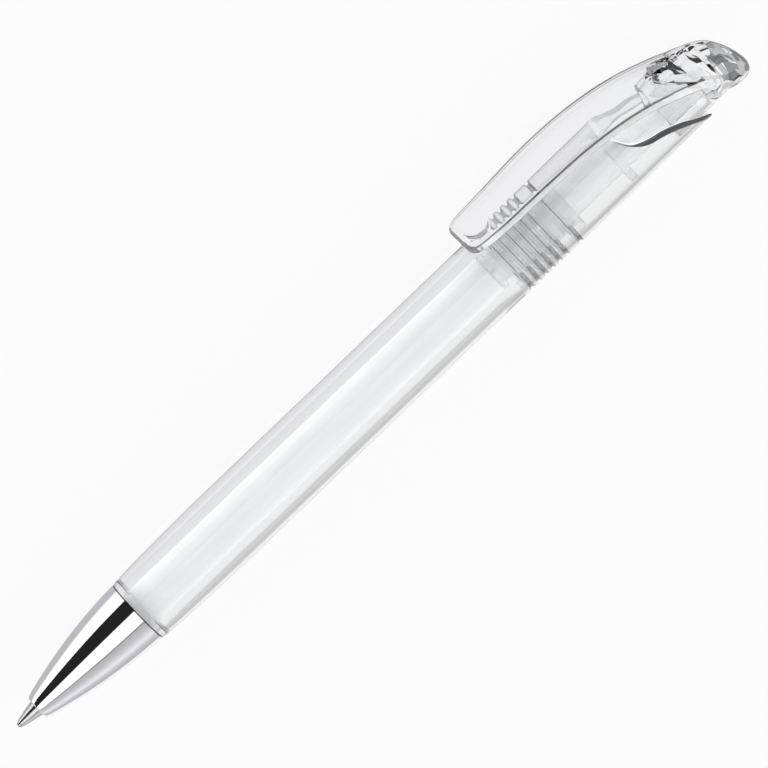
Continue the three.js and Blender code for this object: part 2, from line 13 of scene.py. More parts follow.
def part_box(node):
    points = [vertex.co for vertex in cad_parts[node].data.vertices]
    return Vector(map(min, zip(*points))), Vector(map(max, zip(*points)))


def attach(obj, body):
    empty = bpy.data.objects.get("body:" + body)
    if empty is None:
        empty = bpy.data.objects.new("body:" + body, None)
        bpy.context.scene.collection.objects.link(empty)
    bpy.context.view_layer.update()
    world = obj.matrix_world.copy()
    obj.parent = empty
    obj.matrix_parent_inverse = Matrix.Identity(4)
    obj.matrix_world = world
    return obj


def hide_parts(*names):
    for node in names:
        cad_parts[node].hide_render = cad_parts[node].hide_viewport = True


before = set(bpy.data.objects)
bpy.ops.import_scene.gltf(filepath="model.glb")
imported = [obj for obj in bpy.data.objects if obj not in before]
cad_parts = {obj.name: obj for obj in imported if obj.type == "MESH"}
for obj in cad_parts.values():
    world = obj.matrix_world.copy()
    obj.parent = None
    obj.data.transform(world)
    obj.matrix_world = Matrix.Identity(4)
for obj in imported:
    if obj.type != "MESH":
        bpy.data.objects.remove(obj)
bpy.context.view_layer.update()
MM = 0.001

# Where the pen's axis lies

ball_low, ball_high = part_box("writing_ball")
TIP_X = ball_high[0]
AXIS_Y = (ball_low[1] + ball_high[1]) / 2
AXIS_Z = (ball_low[2] + ball_high[2]) / 2
AXIS = Vector((0, AXIS_Y, AXIS_Z))


def station(along):
    """The X of a place measured in millimetres back from the writing tip."""
    return TIP_X - along * MM


# How far the clip leans below the horizontal, read from its plate

plate_points = [v.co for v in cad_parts["push_clip"].data.vertices if v.co.x > station(112)]
plate_middle = sum(plate_points, Vector()) / len(plate_points) - AXIS
LEAN = math.atan2(-plate_middle.z, -plate_middle.y)
CLIP_UP = Vector((0, -math.cos(LEAN), -math.sin(LEAN)))
CLIP_SIDE = Vector((0, math.sin(LEAN), -math.cos(LEAN)))

# The photograph looks at the clip's side from above, with the pen turned so that its axis
# climbs to the upper right

TURN = math.radians(43.77)
ELEVATION = math.radians(47.2)
LOW_IN_PICTURE = Vector((0, math.sin(ELEVATION), math.cos(ELEVATION)))


# Shader maths

class Wire:
    """A shader socket that takes Python's operators."""

    def __init__(self, tree, socket):
        self.tree = tree
        self.socket = socket

    def math(self, operation, *others, flip=False, clamp=False):
        node = self.tree.nodes.new("ShaderNodeMath")
        node.operation = operation
        node.use_clamp = clamp
        terms = [self, *others]
        if flip:
            terms.reverse()
        for index, term in enumerate(terms):
            plug(self.tree, node.inputs[index], term)
        return Wire(self.tree, node.outputs[0])

    def __add__(self, other):
        return self.math("ADD", other)

    __radd__ = __add__

    def __mul__(self, other):
        return self.math("MULTIPLY", other)

    __rmul__ = __mul__

    def __sub__(self, other):
        return self.math("SUBTRACT", other)

    def __rsub__(self, other):
        return self.math("SUBTRACT", other, flip=True)

    def __pow__(self, other):
        return self.math("POWER", other)

    def clipped(self):
        return self.math("ADD", 0.0, clamp=True)


def plug(tree, socket, value):
    if isinstance(value, Wire):
        tree.links.new(value.socket, socket)
    else:
        socket.default_value = value


def node_of(tree, kind, output=0, **sockets):
    """Adds a node, fills its sockets and gives the named output."""
    node = tree.nodes.new(kind)
    for socket, value in sockets.items():
        plug(tree, node.inputs[socket.replace("_", " ")], value)
    return Wire(tree, node.outputs[output])


def mix_of(tree, share, first, second):
    """Mixes two colours, from the first at 0 to the second at 1."""
    node = tree.nodes.new("ShaderNodeMix")
    node.data_type = "RGBA"
    for index, value in ((0, share), (6, first), (7, second)):
        plug(tree, node.inputs[index], value)
    return Wire(tree, node.outputs[2])


def ramp_of(tree, factor, stops):
    """A ramp of greys with a stop for each [place, shade], or [place, shade, blue]."""
    node = tree.nodes.new("ShaderNodeValToRGB")
    plug(tree, node.inputs["Fac"], factor)
    elements = node.color_ramp.elements
    for index, (place, shade, *blue) in enumerate(stops):
        stop = elements[index] if index < 2 else elements.new(place)
        stop.position = place
        stop.color = (shade, shade, blue[0] if blue else shade, 1)
    return Wire(tree, node.outputs["Color"])


def rays_of(tree, *kinds):
    """The Light Path outputs of those names."""
    node = tree.nodes.new("ShaderNodeLightPath")
    return [Wire(tree, node.outputs[kind]) for kind in kinds]


class Finish:
    """One material and its Principled shader."""

    def __init__(self, name, color, roughness, metallic=0.0, **constants):
        self.material = bpy.data.materials.new(name)
        self.material.use_nodes = True
        self.tree = self.material.node_tree
        self.shader = self.tree.nodes["Principled BSDF"]
        self.set("Base Color", (*color, 1.0))
        self.set("Roughness", roughness)
        self.set("Metallic", metallic)
        for socket, value in constants.items():
            self.set(socket.replace("_", " "), value)

    def set(self, socket, value):
        plug(self.tree, self.shader.inputs[socket], value)

    def noise(self, size, detail=2.0, stretch=(1, 1, 1)):
        place = node_of(self.tree, "ShaderNodeTexCoord", "Object")
        place = node_of(self.tree, "ShaderNodeMapping", Vector=place, Scale=stretch)
        return node_of(self.tree, "ShaderNodeTexNoise", Vector=place, Scale=1 / size, Detail=detail)

    def edge_on(self, power):
        """Runs from 0 where a face is seen straight on to 1 where it is seen along itself."""
        return node_of(self.tree, "ShaderNodeLayerWeight", "Facing", Blend=0.5) ** power

    def shades(self, dark, light, mask):
        self.set("Base Color", mix_of(self.tree, mask, (*dark, 1.0), (*light, 1.0)))

    def bump(self, height, strength, distance):
        self.set("Normal", node_of(
            self.tree, "ShaderNodeBump", Height=height, Strength=strength, Distance=distance,
        ))


def clear_moulding(name, tint, painted_edge_shade, ior, rim=2):
    """Polished clear plastic, darker where it is seen edge on: partly the deeper tint of a longer path
    through it, partly painted shade for the dark rims that refraction shows.

    It has a faint ripple from the mould and fine handling marks.
    """
    finish = Finish(name, tint, 0.02, Transmission_Weight=1.0, IOR=ior)
    # Painted shade: the colour runs to the second one where a face is seen edge on
    finish.shades(tint, painted_edge_shade, finish.edge_on(rim))
    marks = finish.noise(0.4 * MM, 3.0, (0.2, 1, 1))
    finish.set("Roughness", 0.012 + 0.03 * (marks - 0.5).clipped())
    finish.bump(finish.noise(9 * MM, 1.0, (0.3, 1, 1)), 0.02, 0.3 * MM)
    return finish.material


def chrome_plate():
    """Mirror plating with a slight haze."""
    finish = Finish("nose_chrome", (0.86, 0.86, 0.88), 0.04, 1.0)
    haze = finish.noise(1.2 * MM, 4.0, (0.15, 1, 1))
    finish.set("Roughness", 0.025 + 0.05 * (haze - 0.55).clipped())
    finish.shades((0.84, 0.845, 0.87), (0.88, 0.88, 0.9), haze)
    return finish.material


def turned_metal(name, dark, light, roughness):
    """Metal with the fine rings that turning leaves round it."""
    finish = Finish(name, light, roughness, 1.0)
    rings = finish.noise(0.12 * MM, 2.0, (6, 0.1, 0.1))
    finish.shades(dark, light, rings)
    finish.set("Roughness", roughness + 0.1 * (rings - 0.5).clipped())
    finish.bump(rings, 0.12, 0.01 * MM)
    return finish.material


def drawn_tube():
    """The white refill tube: smooth extruded plastic with faint lines along it."""
    finish = Finish("refill_white", (0.9, 0.9, 0.9), 0.3, Specular_IOR_Level=0.4)
    lines = finish.noise(0.6 * MM, 3.0, (0.03, 1, 1))
    finish.shades((0.86, 0.86, 0.865), (0.93, 0.93, 0.93), lines)
    finish.set("Roughness", 0.26 + 0.12 * lines)
    finish.bump(lines, 0.05, 0.02 * MM)
    return finish.material


def milky_plastic(name, dark, light, through):
    """Translucent moulded plastic, a little cloudy, denser where it is seen edge on and darker there:
    painted shade for the dark outlines at the real parts' edges.
    """
    finish = Finish(name, light, 0.25, IOR=1.5)
    cloud = finish.noise(2.5 * MM, 3.0)
    face_on = 1 - finish.edge_on(3)
    # Painted shade: the colour runs to the dark one where a face is seen edge on; the cloud varies the tone
    # at random
    finish.shades(dark, light, (cloud * 0.3 + 0.78).clipped() * face_on)
    finish.set("Alpha", 1 - through * face_on)
    finish.set("Roughness", 0.2 + 0.15 * cloud)
    finish.bump(finish.noise(0.8 * MM, 2.0), 0.04, 0.05 * MM)
    return finish.material


def ink(name, dark, light, roughness):
    """Ink or grease, with a faint swirl."""
    finish = Finish(name, dark, roughness)
    swirl = finish.noise(3 * MM, 2.0)
    finish.shades(dark, light, swirl)
    finish.set("Roughness", roughness + 0.05 * swirl)
    return finish.material


# The second colour of each clear material is painted shade, for the dark that refraction shows where it is
# seen edge on
BARREL_CLEAR = clear_moulding("barrel_clear", (0.95, 0.952, 0.955), (0.68, 0.685, 0.69), 1.49)
CLIP_CLEAR = clear_moulding("clip_clear", (0.975, 0.977, 0.98), (0.2, 0.2, 0.21), 1.5, 4)
# Painted shade: a near-black clear material for the dark lines that refraction draws at the clip's rims,
# the beak's tip and some of the head's cut facets
CLIP_RIM_SHADE = clear_moulding("clip_rim_painted_shade", (0.08, 0.081, 0.083), (0.06, 0.06, 0.065), 1.5)
END_RING = clear_moulding("end_ring", (0.91, 0.912, 0.915), (0.5, 0.505, 0.51), 1.49)
# Painted highlight: a cloudy white material for the light that the mouth's clear cut faces catch
CUT_EDGE_HIGHLIGHT = milky_plastic("cut_edge_painted_highlight", (0.8, 0.8, 0.8), (0.9, 0.9, 0.9), 0.1)
# Painted highlight: a cloudy grey material on the clip's side walls, for the band of light that runs along
# them
SIDE_WALL_HIGHLIGHT = milky_plastic("side_wall_painted_highlight", (0.5, 0.5, 0.5), (0.66, 0.66, 0.66), 0.3)
# Painted shade: a dark clear material for the dark refraction in the barrel's grooves, under the clip's
# near edge and on some of the head's cut facets
DARK_CLEAR_SHADE = clear_moulding("painted_shade_clear", (0.3, 0.303, 0.306), (0.2, 0.2, 0.21), 1.49)
# Painted shade: dark metal for the bead along the mouth's cut edge, and for the shaded gap of the joint
# behind the nose
LIP_AND_JOINT_SHADE = turned_metal("lip_and_joint_painted_shade", (0.1, 0.1, 0.105), (0.16, 0.16, 0.165), 0.1)
NOSE_CHROME = chrome_plate()
POINT_METAL = turned_metal("point_metal", (0.55, 0.55, 0.57), (0.78, 0.78, 0.8), 0.16)
REFILL_WHITE = drawn_tube()

# Pieces inside the pen keep the CAD's shape

for node, material in {
    "writing_ball": turned_metal("ball_metal", (0.4, 0.4, 0.42), (0.6, 0.6, 0.62), 0.1),
    "return_spring": turned_metal("spring_wire", (0.5, 0.5, 0.52), (0.72, 0.72, 0.74), 0.25),
    "refill_front": milky_plastic("adaptor_white", (0.86, 0.86, 0.85), (0.92, 0.92, 0.91), 0.0),
    "refill_plug": milky_plastic("plug_milky", (0.62, 0.63, 0.64), (0.95, 0.955, 0.96), 0.6),
    "cam_sleeve": milky_plastic("sleeve_milky", (0.5, 0.505, 0.51), (0.97, 0.975, 0.98), 0.9),
    "rotor": milky_plastic("rotor_milky", (0.55, 0.56, 0.57), (0.95, 0.955, 0.96), 0.85),
    "push_stem": milky_plastic("stem_milky", (0.45, 0.455, 0.46), (0.97, 0.975, 0.98), 0.7),
    "ink_column": ink("ink_dark", (0.01, 0.01, 0.015), (0.02, 0.022, 0.03), 0.15),
    "ink_follower": ink("ink_grease", (0.62, 0.55, 0.3), (0.75, 0.7, 0.45), 0.3),
}.items():
    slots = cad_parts[node].data.materials
    slots.clear()
    slots.append(material)


# Modelling tools

def start():
    """Leaves edit mode with nothing selected."""
    if bpy.context.mode != "OBJECT":
        bpy.ops.object.mode_set(mode="OBJECT")
    bpy.ops.object.select_all(action="DESELECT")


def chosen(piece):
    """Makes a piece the only one that the tools work on."""
    start()
    piece.select_set(True)
    bpy.context.view_layer.objects.active = piece


def closed():
    """Turns the normals of the mesh being edited outwards, and leaves edit mode."""
    bpy.ops.mesh.select_all(action="SELECT")
    bpy.ops.mesh.normals_make_consistent(inside=False)
    bpy.ops.object.mode_set(mode="OBJECT")
    return bpy.context.object


def smoothed(piece, angle):
    chosen(piece)
    bpy.ops.object.shade_smooth_by_angle(angle=math.radians(angle))


def coated(piece, *materials):
    """Gives a piece its materials, the first of them on every face."""
    for material in materials:
        piece.data.materials.append(material)


def finished(name, body, slot, *stands_for, material=None, angle=35):
    """Names the active mesh, smooths it, and seats it on its body."""
    piece = bpy.context.object
    piece.name = name
    if material:
        coated(piece, material)
    bpy.ops.object.transform_apply(location=True, rotation=True, scale=True)
    if angle:
        smoothed(piece, angle)
    if stands_for:
        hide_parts(*stands_for)
    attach(piece, body)


def held(profile):
    """Adds a point close to each end of every long straight, so that it shades straight."""
    kept = [profile[0]]
    for (x0, r0), (x1, r1) in zip(profile, profile[1:]):
        length = math.hypot(x1 - x0, r1 - r0)
        if length > 0.5:
            share = 0.05 / length
            kept.append((x0 + (x1 - x0) * share, r0 + (r1 - r0) * share))
            kept.append((x1 - (x1 - x0) * share, r1 - (r1 - r0) * share))
        kept.append((x1, r1))
    return kept


def turned(profile, sides):
    """Pulls a ring through the [along, radius] points of a profile, and closes it on itself."""
    start()
    profile = held(profile)
    here, now = profile[0]
    bpy.ops.mesh.primitive_circle_add(
        vertices=sides, radius=now * MM,
        location=(station(here), AXIS_Y, AXIS_Z), rotation=(0, math.pi / 2, 0),
    )
    bpy.ops.object.transform_apply(location=True, rotation=True, scale=True)
    bpy.ops.object.mode_set(mode="EDIT")
    for along, radius in profile[1:]:
        grow = radius / now
        bpy.ops.mesh.extrude_region_move(TRANSFORM_OT_translate={"value": ((here - along) * MM, 0, 0)})
        bpy.ops.transform.resize(value=(1, grow, grow), center_override=(station(along), AXIS_Y, AXIS_Z))
        here, now = along, radius
    bpy.ops.mesh.select_all(action="DESELECT")
    bpy.ops.mesh.select_non_manifold()
    bpy.ops.mesh.bridge_edge_loops()
    return closed()


def outlined(places):
    """Starts a mesh with one face that has its corners at the places, and stays in edit mode."""
    start()
    bpy.ops.mesh.primitive_plane_add(size=MM, location=(0, 0, 0))
    bpy.ops.object.mode_set(mode="EDIT")
    bpy.ops.mesh.merge(type="CENTER")
    bpy.ops.transform.translate(value=places[0])
    for here, there in zip(places, places[1:]):
        bpy.ops.mesh.extrude_vertices_move(TRANSFORM_OT_translate={"value": there - here})
    bpy.ops.mesh.select_all(action="SELECT")
    bpy.ops.mesh.edge_face_add()


def traced(points, thickness):
    """Draws an outline of [along, height] points and gives it thickness across the pen."""
    near = CLIP_SIDE * (thickness / 2)
    outlined([
        Vector((station(along), AXIS_Y, AXIS_Z)) + (CLIP_UP * height - near) * MM
        for along, height in points
    ])
    bpy.ops.mesh.extrude_region_move(TRANSFORM_OT_translate={"value": CLIP_SIDE * thickness * MM})
    return closed()


def boolean(piece, tool, operation):
    """Cuts or joins the tool into the piece with its materials, and removes the tool."""
    chosen(piece)
    step = piece.modifiers.new("cut", "BOOLEAN")
    step.operation = operation
    step.solver = "EXACT"
    step.material_mode = "TRANSFER"
    step.object = tool
    bpy.ops.object.modifier_apply(modifier=step.name)
    bpy.data.objects.remove(tool)


def follow(points, along):
    """Reads a smooth curve through [along, value] points."""
    index = max(i for i in range(len(points) - 1) if i == 0 or points[i][0] <= along)
    (x0, y0), (x1, y1) = points[index], points[index + 1]
    before = points[max(index - 1, 0)]
    after = points[min(index + 2, len(points) - 1)]
    span = x1 - x0
    slope = (y1 - before[1]) / (x1 - before[0]) * span
    next_slope = (after[1] - y0) / (after[0] - x0) * span
    t = (along - x0) / span
    return (
        (2 * t ** 3 - 3 * t ** 2 + 1) * y0 + (t ** 3 - 2 * t ** 2 + t) * slope
        + (3 * t ** 2 - 2 * t ** 3) * y1 + (t ** 3 - t ** 2) * next_slope
    )


def flowing(points, steps):
    """A smooth line through the points, with the given steps between each two."""
    line = []
    for i in range(len(points) - 1):
        p0, p1 = points[max(i - 1, 0)], points[i]
        p2, p3 = points[i + 1], points[min(i + 2, len(points) - 1)]
        for k in range(steps):
            t = k / steps
            line.append(tuple(
                0.5 * (
                    2 * b + (c - a) * t + (2 * a - 5 * b + 4 * c - d) * t ** 2
                    + (3 * b - a - 3 * c + d) * t ** 3
                )
                for a, b, c, d in zip(p0, p1, p2, p3)
            ))
    line.append(points[-1])
    return line


def circle(sides):
    turns = [step / sides * math.tau for step in range(sides)]
    return [(math.cos(turn), math.sin(turn)) for turn in turns]


def pulled(outline, stations):
    """Pulls a closed outline of [side, height] points along the pen, then leans it as the clip leans.

    Each station is [along, middle, wide, above, below]: the height of its middle, and how far
    the outline is stretched sideways, above its middle and below it. It stands straight out
    while it is drawn.
    """
    along, middle, wide, above, below = stations[0]
    outlined([
        Vector((
            station(along),
            AXIS_Y - (middle + height * (above if height > 0 else below)) * MM,
            AXIS_Z - side * wide * MM,
        ))
        for side, height in outline
    ])
    mesh = bmesh.from_edit_mesh(bpy.context.object.data)
    for last, new in zip(stations, stations[1:]):
        level = AXIS_Y - new[1] * MM
        bpy.ops.mesh.extrude_region_move(TRANSFORM_OT_translate={
            "value": ((last[0] - new[0]) * MM, (last[1] - new[1]) * MM, 0),
        })
        bpy.ops.transform.resize(value=(1, 1, new[2] / last[2]), center_override=(0, level, AXIS_Z))
        moved = [vert for vert in mesh.verts if vert.select]
        for share, upper in ((new[3] / last[3], True), (new[4] / last[4], False)):
            if abs(share - 1) > 1e-6:
                for vert in moved:
                    vert.select = (vert.co.y < level) == upper
                mesh.select_flush_mode()
                bpy.ops.transform.resize(value=(1, share, 1), center_override=(0, level, AXIS_Z))
        for vert in moved:
            vert.select = True
        mesh.select_flush(True)
        mesh = bmesh.from_edit_mesh(bpy.context.object.data)
    return lean(closed())


def lean(piece):
    """Turns a piece drawn straight out to where the clip leans."""
    about = Matrix.Translation(AXIS)
    piece.matrix_world = about @ Matrix.Rotation(LEAN, 4, "X") @ about.inverted() @ piece.matrix_world
    chosen(piece)
    bpy.ops.object.transform_apply(location=True, rotation=True, scale=True)
    return piece


# Clip: a wide arched plate

CLIP_FRONT, HEAD_FRONT, PEN_LENGTH = 94.5, 134.9, 143.2
CLIP_REACH = HEAD_FRONT - CLIP_FRONT
CLIP_HEIGHT, CLIP_HALF_WIDTH, CLIP_CROWN = 9.2, 5.38, 0.55
CORNER_RADIUS = 2.0  # of the clip's end, seen from above
END_STEPS, END_RUN = 12, 1.2  # the fine stations at the clip's end
END_ROUND, END_THICKNESS = 0.7, 0.45  # how long the end is rounded, and how thick it starts
PLATE_STEPS, PLATE_REAR = 70, 136.2
clip_side = [
    (0, 0.98), (0.136, 0.971), (0.384, 1), (0.582, 0.959), (0.78, 0.793), (0.96, 0.492), (1.052, 0.283),
]
clip_plan = [(0, 0.771), (0.101, 0.864), (0.235, 0.929), (0.433, 0.993), (0.879, 1), (1.052, 0.967)]
clip_depth = [(0, 0.88), (0.384, 1), (0.78, 1), (0.96, 1.29), (1.052, 1.65)]

# The plate's outline: a crowned top, a low side wall with rounded edges, and a hollow underside
half_plate = [
    (0.0, 0.55), (0.2, 0.53), (0.4, 0.46), (0.58, 0.34), (0.715, 0.205), (0.745, 0.165), (0.82, 0.05),
    (0.9, -0.12), (0.945, -0.25), (0.955, -0.29), (0.975, -0.31), (0.99, -0.35), (1.0, -0.44),
    (1.0, -0.58), (0.995, -1.2), (0.988, -1.47), (0.975, -1.58), (0.95, -1.65), (0.92, -1.66),
    (0.88, -1.63), (0.7, -1.5), (0.5, -1.38), (0.25, -1.28), (0.0, -1.25),
]
plate_outline = [(side, (height + CLIP_CROWN) / (2 * CLIP_CROWN)) for side, height in half_plate]
plate_outline += [(-side, height) for side, height in reversed(plate_outline[1:-1])]


def clip_half_width(along):
    """Half the clip's width, with the corners of its end rounded off."""
    from_end = min(max(along - CLIP_FRONT, 0.0) / CORNER_RADIUS, 1.0)
    corner = CORNER_RADIUS * (1 - math.sqrt(1 - (1 - from_end) ** 2))
    return CLIP_HALF_WIDTH * follow(clip_plan, (along - CLIP_FRONT) / CLIP_REACH) - corner


plate_stations = []
for step in range(PLATE_STEPS):
    if step < END_STEPS:
        turn = (step + 0.6) / END_STEPS * math.pi / 2
        along = CLIP_FRONT + END_RUN * (1 - math.cos(turn)) + 0.02
        end_at = along
    else:
        along = end_at + (PLATE_REAR - end_at) * (step - END_STEPS + 1) / (PLATE_STEPS - END_STEPS)
    share = (along - CLIP_FRONT) / CLIP_REACH
    thin = min((along - CLIP_FRONT) / END_ROUND, 1.0)
    thickness = END_THICKNESS + (1 - END_THICKNESS) * math.sqrt(1 - (1 - thin) ** 2)
    above = 2 * CLIP_CROWN * thickness
    plate_stations.append((
        along, CLIP_HEIGHT * follow(clip_side, share) - CLIP_CROWN, clip_half_width(along),
        above, follow(clip_depth, share) * above,
    ))
plate = pulled(plate_outline, plate_stations)

# The faces that turn over at the rim look dark in the photograph and get a near-black clear material,
# painted shade, as does a thin line inside the far edge; the side walls get a painted highlight, and the
# faces under the near edge painted shade
coated(plate, CLIP_CLEAR, CLIP_RIM_SHADE, SIDE_WALL_HIGHLIGHT, DARK_CLEAR_SHADE)
RIM_SHADE, WALL_HIGHLIGHT, FOOT_SHADE = 1, 2, 3
for face in plate.data.polygons:
    off = (face.center - AXIS).dot(CLIP_SIDE) / MM
    across, outward = abs(face.normal.dot(CLIP_SIDE)), face.normal.dot(CLIP_UP)
    along = (TIP_X - face.center.x) / MM
    sideways = off / max(clip_half_width(along), 0.1)
    at_front = 0.35 < face.normal.x < 0.97 and along < CLIP_FRONT + 1.2
    far_rim = off > 4.2 and 0.35 < across < 0.94 and abs(outward) > 0.3
    near_rim = -0.99 < sideways < -0.93 and outward > 0.3
    inner_line = outward > 0.5 and 0.718 < sideways < 0.742 and along > CLIP_FRONT + 1
    # Painted shade on the rim, the inner line and the foot; painted highlight on the side walls
    if at_front or far_rim or near_rim or inner_line:
        face.material_index = RIM_SHADE
    elif across >= 0.94 and abs(sideways) > 0.95:
        face.material_index = WALL_HIGHLIGHT
    elif sideways < -0.95 and across > 0.35 and outward < -0.3:
        face.material_index = FOOT_SHADE

# Push head with its skirt, in one moulding with the clip

SKIRT_FRONT, SKIRT_REAR, SKIRT_BORE, SKIRT_RADIUS = 128.3, 135.5, 3.85, 4.7
HEAD_WALL = 0.95
BEAK_SHADE_FROM = 142.6  # the dark rim at the beak's tip
head_top = [
    (0, 1.01), (0.18, 0.957), (0.506, 0.84), (0.71, 0.553), (0.855, 0.106), (0.95, -0.32), (1, -0.66),
]
head_bottom = [
    (0, -0.996), (0.42, -1.004), (0.48, -1.06), (0.675, -1.14), (0.855, -1.15), (0.95, -1.08), (1, -0.92),
]
head_plan = [
    (0, 1.106), (0.18, 1.106), (0.506, 0.957), (0.71, 0.84), (0.855, 0.68), (0.95, 0.447), (1, 0.19),
]
head_middle = [(0, 0.553), (0.18, 0.404), (0.506, -0.106), (0.855, -0.55), (1, -0.79)]


def head_stations(shares, wall):
    """Stations of the push head's skin, or of a hollow inside it at a wall's distance."""
    rows = []
    for share in shares:
        top, bottom, plan, middle = (
            SKIRT_RADIUS * follow(curve, share) for curve in (head_top, head_bottom, head_plan, head_middle)
        )
        rows.append((
            HEAD_FRONT + (PEN_LENGTH - HEAD_FRONT) * share, middle,
            plan - wall, top - middle - wall, middle - bottom - wall,
        ))
    return rows


head = pulled(circle(64), head_stations(
    [step / 36 for step in range(35)] + [0.96, 0.975, 0.985, 0.993, 1.0], 0,
))
coated(head, CLIP_CLEAR, CLIP_RIM_SHADE)
# Painted shade: the faces at the beak's tip get the near-black clear material, for the dark rim that
# refraction shows there
for face in head.data.polygons:
    if face.center.x < station(BEAK_SHADE_FROM):
        face.material_index = RIM_SHADE
skirt = turned([
    (SKIRT_FRONT, SKIRT_BORE), (SKIRT_FRONT, 4.5), (128.36, 4.64), (128.5, SKIRT_RADIUS),
    (SKIRT_REAR, SKIRT_RADIUS), (SKIRT_REAR, SKIRT_BORE),
], 96)
coated(skirt, CLIP_CLEAR)
boolean(head, skirt, "UNION")
boolean(head, plate, "UNION")

# The low ridge under the clip's end, which grips the cloth of a pocket

RIDGE_AT, RIDGE_MIDDLE, RIDGE_TOP = 97.9, 8.95, 8.15
start()
bpy.ops.mesh.primitive_uv_sphere_add(
    segments=64, ring_count=48, radius=MM, location=(station(RIDGE_AT), AXIS_Y - RIDGE_MIDDLE * MM, AXIS_Z),
)
bpy.ops.transform.resize(value=(3.23, 1.6, 4.69))
bpy.ops.object.transform_apply(location=True, rotation=True, scale=True)
bpy.ops.object.mode_set(mode="EDIT")
bpy.ops.mesh.select_all(action="SELECT")
bpy.ops.mesh.bisect(
    plane_co=(0, AXIS_Y - RIDGE_TOP * MM, 0), plane_no=(0, -1, 0), clear_outer=True, use_fill=True,
)
bpy.ops.object.mode_set(mode="OBJECT")
ridge = lean(bpy.context.object)
coated(ridge, CLIP_CLEAR)
boolean(head, ridge, "UNION")

# The moulding is cored out behind the clip's root, and the core leaves cut facets

CORE_LEAST, CORE_JITTER = 0.86, 0.32  # how far the facets draw in, and how far their corners stray
FACETS_FROM = 138.6  # where the facets begin to differ in shade
random.seed(11)
core_stations = [(130.6, 5.0, 1.6, 0.5, 0.5), (131.4, 4.7, 2.9, 1.0, 1.1), (132.9, 4.1, 3.9, 1.2, 1.6)]
core_stations += head_stations(
    [0.02, 0.12, 0.23, 0.34, 0.45, 0.56, 0.66, 0.75, 0.83, 0.9, 0.95], HEAD_WALL,
)
core_stations = [
    (along, middle, *(reach * random.uniform(CORE_LEAST, 1.0) for reach in reaches))
    for along, middle, *reaches in core_stations
]
core = pulled(circle(14), core_stations)
for vert in core.data.vertices:
    vert.co += Vector([random.uniform(-CORE_JITTER, CORE_JITTER) * MM for _ in range(3)])

# Towards the beak's end, facets that are clear, grey and dark take turns; the grey and dark ones are
# painted shade, for the contrast that refraction gives the real facets. They are counted by their place,
# because the order of a mesh's faces can change from run to run.
PAINTED_FACET_SHADES = (0, 1, 0, 2, 1)
coated(core, CLIP_CLEAR, DARK_CLEAR_SHADE, CLIP_RIM_SHADE)
beak_facets = [face for face in core.data.polygons if face.center.x < station(FACETS_FROM)]
beak_facets.sort(key=lambda face: face.center.x)
for count, face in enumerate(beak_facets):
    face.material_index = PAINTED_FACET_SHADES[count % len(PAINTED_FACET_SHADES)]
smoothed(head, 28)
boolean(head, core, "DIFFERENCE")
finished("push_clip_shell", "push_head", "clear_plastic", "push_clip", angle=None)

# Barrel, with its grip grooves and its slanted mouth

BARREL_RADIUS, BARREL_BORE, REAR_BORE = 5.805, 4.5, 5.0
BARREL_REAR, SHOULDER_AT = 133.6, 96.4
CUTTER_THICKNESS = 16  # wider than the pen
GROOVES = [97.8 + 1.39 * count for count in (0, 1, 2, 3, 4, 5, 7)]
GROOVE_SECTION = [
    (-0.48, 0), (-0.4, 0), (-0.37, 0.02), (-0.18, 0.27), (-0.14, 0.29),
    (0.14, 0.29), (0.18, 0.27), (0.37, 0.02), (0.4, 0), (0.48, 0),
]
MOUTH = [
    (135.3, -4.42), (134.0, -3.72), (132.9, -2.74), (131.9, -1.92), (130.8, -0.93), (129.0, 0.35),
    (126.8, 1.28), (124.6, 1.8), (123.2, 2.33), (122.46, 2.8), (121.7, 3.38), (120.6, 4.66),
    (119.5, 5.76), (119.2, 7.5),
]

barrel_profile = [
    (18.0, 3.4), (18.0, 3.7), (18.3, 3.95), (24.2, 3.95), (24.2, 5.2), (24.32, 5.25),
    (25.1, 5.34), (25.2, 5.26), (25.35, 5.26), (25.45, 5.37),
]
barrel_profile += flowing([
    (27.0, 5.465), (29.0, 5.56), (31.5, 5.64), (34.6, 5.71), (38.0, 5.77), (41.0, BARREL_RADIUS),
], 2)
for middle in GROOVES:
    barrel_profile += [(middle + offset, BARREL_RADIUS - depth) for offset, depth in GROOVE_SECTION]
barrel_profile += [
    (113.6, BARREL_RADIUS), (118.0, 5.77), (121.6, 5.73), (125.0, 5.68), (128.6, 5.64), (BARREL_REAR, 5.64),
    (BARREL_REAR, REAR_BORE), (SHOULDER_AT, REAR_BORE), (92.4, BARREL_BORE), (25.45, BARREL_BORE),
    (25.35, 4.4), (25.3, 4.3), (25.3, 3.5), (25.25, 3.4),
]
barrel = turned(barrel_profile, 96)

